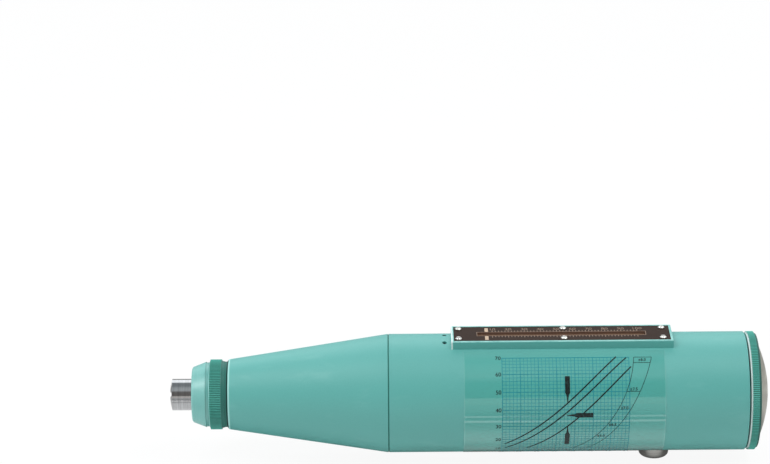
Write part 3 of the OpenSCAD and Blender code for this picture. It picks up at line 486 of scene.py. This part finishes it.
def turned_green(name, knurl, tip_radius, knurl_tone, dark, bare=()):
    """Green anodised part from the lathe. Its knurl is deeper in tone, with painted shade in its valleys
    and paler tips; its dark stretches are painted shade in gaps, and bare stretches are pale metal.
    """
    finish = Finish(name, Anisotropic=0.4, IOR=1.6)
    marks = finish.noise(LATHE_MARK, ROUND_THE_LATHE, detail=4)
    tone = finish.noise(LATHE_TONE)
    ring = finish.between(*knurl)
    tip = finish.span(finish.radius(), tip_radius - KNURL_DEPTH, tip_radius)
    toned = finish.mix(tone, shade(GREEN, 0.9), shade(GREEN, 1.06))
    lined = finish.mix(finish.span(marks, 0.35, 0.7, 0, 0.18), toned, BARE_GREEN_AND_HIGHLIGHT)
    # Painted shade in the knurl's valleys, paler on its tips
    knurl_with_painted_shade = finish.mix(tip, shade(knurl_tone, 0.45), shade(knurl_tone, 1.9))
    # Painted shade in the gaps at the part's edges
    colour, matt = finish.darkened(finish.mix(ring, lined, knurl_with_painted_shade), dark)
    matt = finish.math("MAXIMUM", matt, ring)
    for stretch in bare:
        colour = finish.mix(finish.between(*stretch, SHARP_START), colour, BARE_METAL_AND_HIGHLIGHT)
    finish.feed("Base Color", colour)
    finish.feed("Roughness", finish.span(marks, 0.3, 0.7, 0.36, 0.48))
    finish.feed("Specular IOR Level", finish.span(matt, 0, 1, LATHE_SPECULAR, GROOVE_SPECULAR))
    off_knurl = finish.span(ring, 0, 1, 1, 0)
    finish.bump(finish.math("MULTIPLY", marks, off_knurl), LATHE_MARK_DEPTH)
    return finish.material


def turned_metal(name, colour, roughness, marks_size=METAL_MARK, stretch=ROUND_THE_AXIS):
    """Machined metal with fine tool marks, slow stains and small changes of gloss."""
    finish = Finish(name, Metallic=1.0, Anisotropic=0.3)
    marks = finish.noise(marks_size, stretch, detail=4)
    stain = finish.noise(METAL_STAIN, detail=5)
    lined = finish.mix(finish.span(marks, 0.3, 0.7), shade(colour, 0.86), shade(colour, 1.08))
    dull = finish.span(stain, 0.5, 0.8, 0, 0.35)
    gloss = finish.span(marks, 0.25, 0.75, roughness * 0.8, roughness * 1.25)
    finish.feed("Base Color", finish.mix(dull, lined, shade(colour, 0.66)))
    finish.feed("Roughness", finish.math("ADD", gloss, finish.math("MULTIPLY", dull, 0.12)))
    finish.bump(marks, METAL_MARK_DEPTH)
    return finish.material


def felt_cloth(name):
    finish = Finish(name, Roughness=0.95, Sheen_Weight=0.4)
    fibre = finish.noise(FELT_FIBRE, detail=8)
    finish.feed("Base Color", finish.mix(fibre, shade(FELT, 0.6), shade(FELT, 1.15)))
    finish.bump(fibre, FELT_FIBRE_DEPTH)
    return finish.material


def plate_black(name, slot_front, slot_rear):
    """Dark scale plate with a fine brushed grain along the tool, browner on the walls of its slot."""
    finish = Finish(name, Specular_IOR_Level=0.05)
    brush = finish.noise(PLATE_BRUSH, BRUSHED_ALONG, detail=4)
    tone = finish.noise(PLATE_TONE)
    toned = finish.mix(tone, shade(PLATE_BROWN, 0.8), shade(PLATE_BROWN, 1.3))
    lined = finish.mix(finish.span(brush, 0.4, 0.75, 0, 0.5), toned, shade(PLATE_BROWN, 2))
    edge = SLOT_WIDTH / 2
    wall = finish.span(finish.math("ABSOLUTE", finish.axis("Y")), edge, edge + INK, 1, 0)
    wall = finish.math("MULTIPLY", wall, finish.between(slot_front, slot_rear, INK))
    finish.feed("Base Color", finish.mix(wall, lined, SLOT_WALL))
    finish.feed("Roughness", finish.span(brush, 0.3, 0.7, 0.45, 0.6))
    finish.bump(brush, PLATE_BRUSH_DEPTH)
    return finish.material


def clear_strip(name):
    """Clear acrylic, a little brown and hazy with age."""
    finish = Finish(name, Transmission_Weight=0.6, IOR=1.49)
    haze = finish.noise(ACRYLIC_HAZE, LONGER, detail=5)
    finish.feed("Base Color", finish.mix(haze, ACRYLIC_DARK, ACRYLIC_PALE))
    finish.feed("Roughness", finish.span(haze, 0.4, 0.8, 0.04, 0.16))
    return finish.material


def label_film(name, film_front, film_rear, film_top):
    """Glossy film over the green of the barrel, paler along its cut ends, with painted light towards its
    upper edge against the shade under the scale frame.
    """
    finish = Finish(name, Specular_IOR_Level=0.15, Coat_Weight=1.0, Coat_Roughness=0.03, Coat_IOR=1.8)
    tone = finish.noise(FILM_TONE, LONG)
    ripple = finish.noise(FILM_RIPPLE, LONGER, detail=1)
    x = finish.axis("X")
    front_edge = finish.span(x, film_front + FILM_EDGE_START, film_front + FILM_EDGE_END, 1, 0)
    rear_edge = finish.span(x, film_rear - FILM_EDGE_END, film_rear - FILM_EDGE_START)
    ends = finish.math("MULTIPLY", finish.math("MAXIMUM", front_edge, rear_edge), FILM_EDGE_PALENESS)
    # Painted light towards the upper edge, against the shade under the scale frame
    upper = finish.span(finish.axis("Z"), film_top - FILM_UPPER_EDGE, film_top, 0, FILM_UPPER_PAINTED_LIGHT)
    toned = finish.mix(tone, shade(FILM_GREEN, 0.92), shade(FILM_GREEN, 1.04))
    finish.feed("Base Color", finish.mix(finish.math("MAXIMUM", ends, upper), toned, BARE_GREEN_AND_HIGHLIGHT))
    finish.feed("Roughness", finish.span(tone, 0.3, 0.7, 0.3, 0.4))
    finish.bump(ripple, FILM_RIPPLE_DEPTH)
    return finish.material


def ink(name, colour, fade):
    """Printed ink that thins out here and there towards the fade colour."""
    finish = Finish(name, Specular_IOR_Level=0.25)
    thin = finish.span(finish.noise(INK_PATCH, detail=5), 0.45, 0.8, 0, 0.5)
    finish.feed("Base Color", finish.mix(thin, colour, fade))
    finish.feed("Roughness", finish.span(thin, 0, 0.5, 0.35, 0.5))
    return finish.material


def shifted(stretch, origin):
    return [origin + place for place in stretch]


def scale_ten():
    """Place of the scale's first mark along the tool."""
    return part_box("scale_frame")[0].x + TEN_FROM_FRAME


def slot_ends():
    front = scale_ten() + SLOT_FROM_TEN
    return front, front + SLOT_LENGTH


def slot_materials():
    """Materials by the slot that the record gives to a node."""
    film_low, film_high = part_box("chart_label")
    return {
        "silver": turned_metal("silver", DOME_METAL, 0.36, 0.0005, DRAWN_ALONG),
        "polished_steel": turned_metal("polished_steel", STEEL_BRIGHT, 0.12, 0.0004),
        "steel": turned_metal("steel", STEEL, 0.3),
        "dark_steel": turned_metal("dark_steel", BLACKENED, 0.38),
        "spring_steel": turned_metal("spring_steel", shade(STEEL, 0.5), 0.34, 0.0002, EVEN),
        "brass": turned_metal("brass", BRASS, 0.28),
        "felt": felt_cloth("felt"),
        "scale_black": plate_black("scale_black", *slot_ends()),
        "window": clear_strip("window"),
        "label_film": label_film("label_film", film_low.x, film_high.x, film_high.z),
    }


def own_materials():
    """Materials of the nodes that look different from the others in their slot."""
    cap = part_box("front_cap")[1]
    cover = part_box("rear_cover")[1]
    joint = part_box("barrel")[0].x
    frame_low, frame_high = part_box("scale_frame")
    # Painted shade in the gaps and grooves: the cone's collar and corner, the joint, the cap's rear edge and
    # the cover's front and rear edges
    cone_grooves = [
        (shifted(CONE_COLLAR, cap.x), 0.75),
        (shifted(CONE_CORNER, cap.x), 0.15),
        ((joint - JOINT_GROOVE, joint), 0.8),
    ]
    barrel_grooves = [((joint, joint + JOINT_GROOVE), 0.8)]
    cap_grooves = [(shifted(CAP_REAR_EDGE, cap.x), 0.8)]
    cover_grooves = [
        (shifted(COVER_FRONT_EDGE, cover.x), 0.35),
        (shifted(COVER_REAR_EDGE, cover.x), 0.5),
    ]
    return {
        "front_cap": turned_green(
            "green_cap", shifted(CAP_KNURL, cap.x), cap.y, GREEN_DEEP, cap_grooves
        ),
        # The cone's front edge gets a painted highlight
        "front_cone": satin_coat("green_cone", cone_grooves, [shifted(CONE_FRONT_EDGE, cap.x)]),
        "barrel": satin_coat("green_barrel", barrel_grooves),
        "scale_frame": frame_coat("green_frame", frame_high.z, frame_low.x),
        "rear_cover": turned_green(
            "green_cover",
            shifted(COVER_KNURL, cover.x),
            cover.y,
            shade(GREEN_DEEP, 1.1),
            cover_grooves,
            [shifted(COVER_BARE, cover.x)],
        ),
        "push_button": turned_metal("button_steel", shade(ALUMINIUM, 0.9), 0.14, 0.0004, ROUND_THE_BUTTON),
        "scale_screws": turned_metal("screw_steel", shade(ALUMINIUM, 0.8), 0.3, stretch=EVEN),
    }


def dress_nodes():
    """Gives every CAD node its own material, or that of its slot in the record."""
    by_slot = slot_materials()
    own = own_materials()
    for part in frame["record"]["subparts"]:
        name = part["node"]
        material = own.get(name) or by_slot[part["material_slot"]]
        nodes[name].data.materials.clear()
        nodes[name].data.materials.append(material)


class Print:
    """Thin solid marks, drawn in flat coordinates (along, across) and laid on a surface.

    Marks that cross lie on levels of one ink each.
    """

    def __init__(self, surface, level=0):
        self.surface = surface
        self.foot = level * INK
        self.mesh = bmesh.new()

    def lay(self, along, across, height):
        return self.surface(along, across, self.foot + height)

    def corner(self, along, across, height):
        return self.mesh.verts.new(self.lay(along, across, height))

    def stroke(self, path, widths):
        """A band along a path. One width holds for all of it, a list gives one per point."""
        if not isinstance(widths, list):
            widths = [widths] * len(path)
        rows = []
        for i, (along, across) in enumerate(path):
            before = Vector(path[max(i - 1, 0)])
            after = Vector(path[min(i + 1, len(path) - 1)])
            side = (after - before).normalized().orthogonal() * (widths[i] / 2)
            left = (along - side.x, across - side.y)
            right = (along + side.x, across + side.y)
            rows.append([
                self.corner(*left, 0),
                self.corner(*right, 0),
                self.corner(*right, INK),
                self.corner(*left, INK),
            ])
        for first, second in zip(rows, rows[1:]):
            for k in range(4):
                n = (k + 1) % 4
                self.mesh.faces.new((first[k], first[n], second[n], second[k]))
        self.mesh.faces.new(rows[0][::-1])
        self.mesh.faces.new(rows[-1])

    def number(self, text, along, across, height, turn=1):
        """A number centred along, with its foot at across. Turn -1 flips it for an axis that runs down."""
        curve = bpy.data.curves.new("number", "FONT")
        curve.body = text
        curve.align_x = "CENTER"
        curve.size = height / DIGIT_FONT_HEIGHT
        curve.resolution_u = DIGIT_CURVE_STEPS
        curve.extrude = INK / 2
        carrier = bpy.data.objects.new("number", curve)
        bpy.context.scene.collection.objects.link(carrier)
        bpy.context.view_layer.update()
        solved = carrier.evaluated_get(bpy.context.evaluated_depsgraph_get())
        drawn = bpy.data.meshes.new_from_object(solved)
        for vertex in drawn.vertices:
            flat = vertex.co
            vertex.co = self.lay(along + flat.x, across + turn * flat.y, flat.z + INK / 2)
        self.mesh.from_mesh(drawn)
        bpy.data.meshes.remove(drawn)
        bpy.data.objects.remove(carrier)
        bpy.data.curves.remove(curve)

    def piece(self, name, material, body):
        """Makes the marks one piece that rides on a body."""
        bmesh.ops.remove_doubles(self.mesh, verts=self.mesh.verts, dist=MERGE_DISTANCE)
        bmesh.ops.recalc_face_normals(self.mesh, faces=self.mesh.faces)
        data = bpy.data.meshes.new(name)
        self.mesh.to_mesh(data)
        self.mesh.free()
        data.materials.append(material)
        made = bpy.data.objects.new(name, data)
        bpy.context.scene.collection.objects.link(made)
        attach(made, body)


def level_surface(height_of_plane):
    """A surface for print on a level plane."""
    def lay(along, across, height):
        return Vector((along, across, height_of_plane + height))
    return lay


def scale_place(unit):
    """Place of a scale mark along the tool."""
    return scale_ten() + (unit - SCALE_FIRST) * SCALE_UNIT


def slot_outline(lay, tan):
    slot_front, slot_rear = slot_ends()
    outline = Print(lay)
    side = SLOT_WIDTH / 2 + SLOT_LINE / 2
    for y in (-side, side):
        outline.stroke([(slot_front - SLOT_LINE, y), (slot_rear + SLOT_LINE, y)], SLOT_LINE)
    for x in (slot_front - SLOT_LINE / 2, slot_rear + SLOT_LINE / 2):
        outline.stroke([(x, -SLOT_WIDTH / 2), (x, SLOT_WIDTH / 2)], SLOT_LINE)
    outline.piece("scale_slot_outline", tan, "housing")


def scale_ticks(lay, tan):
    ticks = Print(lay)
    foot = SLOT_WIDTH / 2 + SLOT_LINE
    for unit in range(SCALE_FIRST, SCALE_LAST + 1, TICK_STEP):
        x = scale_place(unit)
        length = TICK_SHORT if unit % SCALE_NUMBER_STEP else TICK_LONG
        for side in (-1, 1):
            ticks.stroke([(x, side * foot), (x, side * (foot + length))], TICK_LINE)
    ticks.piece("scale_ticks", tan, "housing")


def scale_numbers(lay, tan):
    numbers = Print(lay)
    for unit in range(SCALE_FIRST, SCALE_LAST + 1, SCALE_NUMBER_STEP):
        numbers.number(str(unit), scale_place(unit), SCALE_NUMBER_FOOT, SCALE_NUMBER_HEIGHT)
    numbers.piece("scale_numbers", tan, "housing")


def scale_start_bars(lay, pale):
    bars = Print(lay)
    x = scale_ten() + START_BAR_FROM_TEN
    for side in (-1, 1):
        bars.stroke([(x, side * START_BAR_INNER), (x, side * START_BAR_OUTER)], START_BAR_WIDTH)
    bars.piece("scale_start_bars", pale, "housing")


def scale_print():
    """The scale round the plate's slot: outline, ticks, numbers and the bars at the start."""
    tan = ink("tan_print", TAN_PRINT, shade(TAN_PRINT, 0.5))
    pale = ink("pale_print", PALE_PRINT, shade(PALE_PRINT, 0.6))
    lay = level_surface(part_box("scale_plate")[1].z)
    slot_outline(lay, tan)
    scale_ticks(lay, tan)
    scale_numbers(lay, tan)
    scale_start_bars(lay, pale)


def rider_index():
    """Dark plate with a pale line on top of the rider's head, seen through the slot."""
    low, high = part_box("rider_block")
    lay = level_surface(high.z)
    plate = Print(lay)
    plate.stroke([(low.x + RIDER_PLATE_MARGIN, 0), (high.x - RIDER_PLATE_MARGIN, 0)], 2 * RIDER_HEAD_HALF)
    plate.piece("rider_index_plate", plate_black("rider_black", 0, 0), "rider")
    line = Print(lay, level=1)
    x = low.x + RIDER_LINE_FROM_FRONT
    line.stroke([(x, -RIDER_HEAD_HALF), (x, RIDER_HEAD_HALF)], SLOT_LINE)
    line.piece("rider_index_line", ink("index_print", PALE_PRINT, TAN_PRINT), "rider")


class Chart:
    """Places on the chart label: cells from its left edge, and cells of strength from its foot."""

    def __init__(self):
        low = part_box("chart_label")[0]
        self.radius = -low.y
        self.left = low.x + CHART_FROM_LABEL
        self.top = self.radius * CHART_TOP_ANGLE

    def lay(self, along, across, height):
        angle = across / self.radius
        reach = self.radius + height
        return Vector((along, -reach * math.sin(angle), reach * math.cos(angle)))

    def at(self, cells, strength):
        return self.left + cells * CHART_CELL, self.top + (CHART_CELLS - strength) * CHART_CELL

    def line(self, start, end):
        """A straight line between two places, cut short enough to follow the barrel."""
        a = Vector(self.at(*start))
        b = Vector(self.at(*end))
        steps = max(1, math.ceil(abs(b.y - a.y) / ARC_STEP))
        return [tuple(a.lerp(b, i / steps)) for i in range(steps + 1)]


def curve_points(start, end):
    return [start + (end - start) * i / CURVE_STEPS for i in range(CURVE_STEPS + 1)]


def quadratic(terms, value):
    constant, slope, bend = terms
    return constant + slope * value + bend * value * value


def chart_grid(chart):
    cyan = ink("cyan_print", CYAN_PRINT, shade(GREEN, 0.8))
    light = Print(chart.lay)
    heavy = Print(chart.lay, level=1)
    for i in range(CHART_CELLS * CELL_PARTS + 1):
        step = i / CELL_PARTS
        lines, width = (light, LIGHT_LINE) if i % CELL_PARTS else (heavy, HEAVY_LINE)
        lines.stroke(chart.line((step, 0), (step, CHART_CELLS)), width)
        lines.stroke(chart.line((0, step), (CHART_CELLS, step)), width)
    light.piece("chart_fine_grid", cyan, "housing")
    heavy.piece("chart_grid", cyan, "housing")


def chart_curves(chart, black):
    curves = Print(chart.lay, level=2)
    for terms, start, end in STRENGTH_CURVES:
        path = [chart.at(cell, quadratic(terms, cell)) for cell in curve_points(start, end)]
        curves.stroke(path, CURVE_LINE)
    curves.piece("chart_curves", black, "housing")


def chart_spread(chart, black):
    """The band of the spread beside the curves, with its rungs and numbers."""
    spread = Print(chart.lay, level=2)
    levels = curve_points(SPREAD_FOOT, CHART_CELLS)
    for edge in (SPREAD_INNER, SPREAD_OUTER):
        spread.stroke([chart.at(quadratic(edge, level), level) for level in levels], THIN_CURVE_LINE)
    for level in SPREAD_RUNGS:
        inner = quadratic(SPREAD_INNER, level)
        outer = quadratic(SPREAD_OUTER, level)
        spread.stroke(chart.line((inner, level), (outer, level)), THIN_CURVE_LINE)
    spread.piece("chart_spread", black, "housing")

    numbers = Print(chart.lay, level=3)
    for level, text in SPREAD_NUMBERS:
        middle = (quadratic(SPREAD_INNER, level) + quadratic(SPREAD_OUTER, level)) / 2
        along, across = chart.at(middle, level)
        numbers.number(PLUS_MINUS + text, along, across, SPREAD_NUMBER_HEIGHT, turn=-1)
    numbers.piece("chart_spread_numbers", black, "housing")


def chart_numbers(chart, black):
    numbers = Print(chart.lay, level=3)
    drop = CHART_NUMBER_HEIGHT / 2
    for level in range(1, CHART_CELLS + 1):
        along, across = chart.at(CHART_NUMBER_BESIDE, level)
        numbers.number(str(STRENGTH_PER_CELL * level), along, across + drop, CHART_NUMBER_HEIGHT, turn=-1)
    for cell in range(CHART_CELLS + 1):
        along, across = chart.at(cell, CHART_NUMBER_BELOW)
        text = str(REBOUND_FIRST + REBOUND_PER_CELL * cell)
        numbers.number(text, along, across, CHART_NUMBER_HEIGHT, turn=-1)
    numbers.piece("chart_numbers", black, "housing")


def sign_width(share):
    """Width of a sign of the tool, at that share of its length from its rear end."""
    if share <= SIGN_BODY_SHARE:
        return SIGN_BODY_WIDTH
    if share <= SIGN_NECK_SHARE:
        fall = (share - SIGN_BODY_SHARE) / (SIGN_NECK_SHARE - SIGN_BODY_SHARE)
        return SIGN_BODY_WIDTH + (SIGN_NECK_WIDTH - SIGN_BODY_WIDTH) * fall
    fall = (share - SIGN_NECK_SHARE) / (1 - SIGN_NECK_SHARE)
    return SIGN_NECK_WIDTH + (SIGN_TIP_WIDTH - SIGN_NECK_WIDTH) * fall


def chart_pointers(chart, black):
    signs = Print(chart.lay, level=3)
    shares = curve_points(0, 1)
    for (cell, level), (right, up) in SIGNS:
        path = [
            chart.at(cell + right * share * SIGN_CELLS, level + up * share * SIGN_CELLS)
            for share in shares
        ]
        signs.stroke(path, [sign_width(share) for share in shares])
    signs.piece("chart_pointers", black, "housing")


def chart_print():
    chart = Chart()
    black = ink("black_print", BLACK_PRINT, shade(GREEN, 0.3))
    chart_grid(chart)
    chart_curves(chart, black)
    chart_spread(chart, black)
    chart_numbers(chart, black)
    chart_pointers(chart, black)


def floor_tone(tree):
    """Painted tone of the floor in reflections, with the housing's painted shadow, but none ahead of the
    nose.
    """
    place = tree.node("ShaderNodeTexCoord").outputs["Object"]
    parts = tree.node("ShaderNodeSeparateXYZ", {0: place})
    ahead_of_nose = tree.math("LESS_THAN", parts.outputs["X"], 0.0)
    aside = tree.math("ABSOLUTE", parts.outputs["Y"])
    aside = tree.math("MAXIMUM", aside, tree.math("MULTIPLY", ahead_of_nose, HOUSING_SHADE))
    share = tree.math("MULTIPLY", aside, MM_PER_M / FLOOR_TONES_REACH)
    return tree.ramp(share, [(distance / FLOOR_TONES_REACH, [tone] * 3) for distance, tone in FLOOR_TONES])


def floor_material():
    """White to the camera with the tool's soft shadow, painted shadow and glow in reflections, paper to all
    else.
    """
    material = bpy.data.materials.new("floor_white")
    material.use_nodes = True
    material.node_tree.nodes.clear()
    tree = Nodes(material.node_tree)
    path = tree.node("ShaderNodeLightPath")
    reflected = tree.math("MAXIMUM", path.outputs["Is Glossy Ray"], path.outputs["Is Transmission Ray"])
    seen = tree.math("MULTIPLY", path.outputs["Is Camera Ray"], FLOOR_WHITE_SEEN)
    paper = tree.node("ShaderNodeBsdfDiffuse", {"Color": (*FLOOR_PAPER, 1)})
    glow = tree.node("ShaderNodeEmission", {"Color": (1, 1, 1, 1)})
    lit = tree.node("ShaderNodeMixShader", {0: seen, 1: paper.outputs[0], 2: glow.outputs[0]})
    # Painted shadow and glowing strips, seen in reflections
    tone = tree.node("ShaderNodeEmission", {"Color": floor_tone(tree)})
    both = tree.node("ShaderNodeMixShader", {0: reflected, 1: lit.outputs[0], 2: tone.outputs[0]})
    tree.node("ShaderNodeOutputMaterial", {"Surface": both.outputs[0]})
    return material


def floor():
    """A floor just under the button."""
    level = cad_bounds[0][2] - FLOOR_DROP
    sides = ((-1, -1), (1, -1), (1, 1), (-1, 1))
    corners = [(x * FLOOR_REACH, y * FLOOR_REACH, level) for x, y in sides]
    data = bpy.data.meshes.new("floor")
    data.from_pydata(corners, [], [(0, 1, 2, 3)])
    data.materials.append(floor_material())
    made = bpy.data.objects.new("floor", data)
    bpy.context.scene.collection.objects.link(made)


def studio_world():
    """White to the camera. Round the tool it is a studio, with its tones set by the angle over its axis."""
    world = bpy.data.worlds.new("studio")
    bpy.context.scene.world = world
    world.use_nodes = True
    world.node_tree.nodes.clear()
    tree = Nodes(world.node_tree)
    place = tree.node("ShaderNodeTexCoord")
    parts = tree.node("ShaderNodeSeparateXYZ", {0: place.outputs["Generated"]})
    towards = tree.math("MULTIPLY", parts.outputs["Y"], -1)
    angle = tree.math("ARCTAN2", parts.outputs["Z"], towards)
    stops = [(degrees / HALF_TURN, colour) for degrees, colour in STUDIO_TONES]
    tones = tree.ramp(tree.math("DIVIDE", angle, math.pi), stops)
    studio = tree.node("ShaderNodeBackground", {"Color": tones})
    white = tree.node("ShaderNodeBackground", {"Color": (1, 1, 1, 1)})
    seen = tree.node("ShaderNodeLightPath").outputs["Is Camera Ray"]
    both = tree.node("ShaderNodeMixShader", {0: seen, 1: studio.outputs[0], 2: white.outputs[0]})
    tree.node("ShaderNodeOutputWorld", {"Surface": both.outputs[0]})


def lamp(name, azimuth, elevation, distance, width, power):
    """A soft area lamp aimed at the tool. Azimuth 0 is on the label's side, 90 at the rear end."""
    middle = (Vector(cad_bounds[0]) + Vector(cad_bounds[1])) / 2
    turn = math.radians(azimuth)
    rise = math.radians(elevation)
    away = Vector((math.sin(turn) * math.cos(rise), -math.cos(turn) * math.cos(rise), math.sin(rise)))
    data = bpy.data.lights.new(name, "AREA")
    data.shape = "DISK"
    data.size = width
    data.energy = power
    made = bpy.data.objects.new(name, data)
    made.location = middle + away * distance
    made.rotation_euler = away.to_track_quat("Z", "Y").to_euler()
    bpy.context.scene.collection.objects.link(made)


def camera():
    data = bpy.data.cameras.new("camera")
    data.sensor_width = SENSOR_WIDTH_MM
    data.lens = FOCAL_PX * SENSOR_WIDTH_MM / PHOTO_WIDTH_PX
    made = bpy.data.objects.new("camera", data)
    bpy.context.scene.collection.objects.link(made)
    down = CAMERA_ELEVATION - CAMERA_PITCH
    ahead = Vector((
        math.sin(CAMERA_YAW) * math.cos(down),
        math.cos(CAMERA_YAW) * math.cos(down),
        -math.sin(down),
    ))
    level = ahead.cross(Vector((0, 0, 1))).normalized()
    upright = level.cross(ahead)
    right = math.cos(CAMERA_ROLL) * level + math.sin(CAMERA_ROLL) * upright
    up = -math.sin(CAMERA_ROLL) * level + math.cos(CAMERA_ROLL) * upright
    turn = Matrix((right, up, -ahead)).transposed().to_4x4()
    spot = Vector((
        CAMERA_X,
        -CAMERA_DISTANCE * math.cos(CAMERA_ELEVATION),
        CAMERA_DISTANCE * math.sin(CAMERA_ELEVATION),
    ))
    made.matrix_world = Matrix.Translation(spot) @ turn
    bpy.context.scene.camera = made


dress_nodes()
scale_print()
chart_print()
rider_index()
floor()
studio_world()
for values in LAMPS:
    lamp(*values)
camera()
bpy.context.scene.view_settings.view_transform = "Standard"
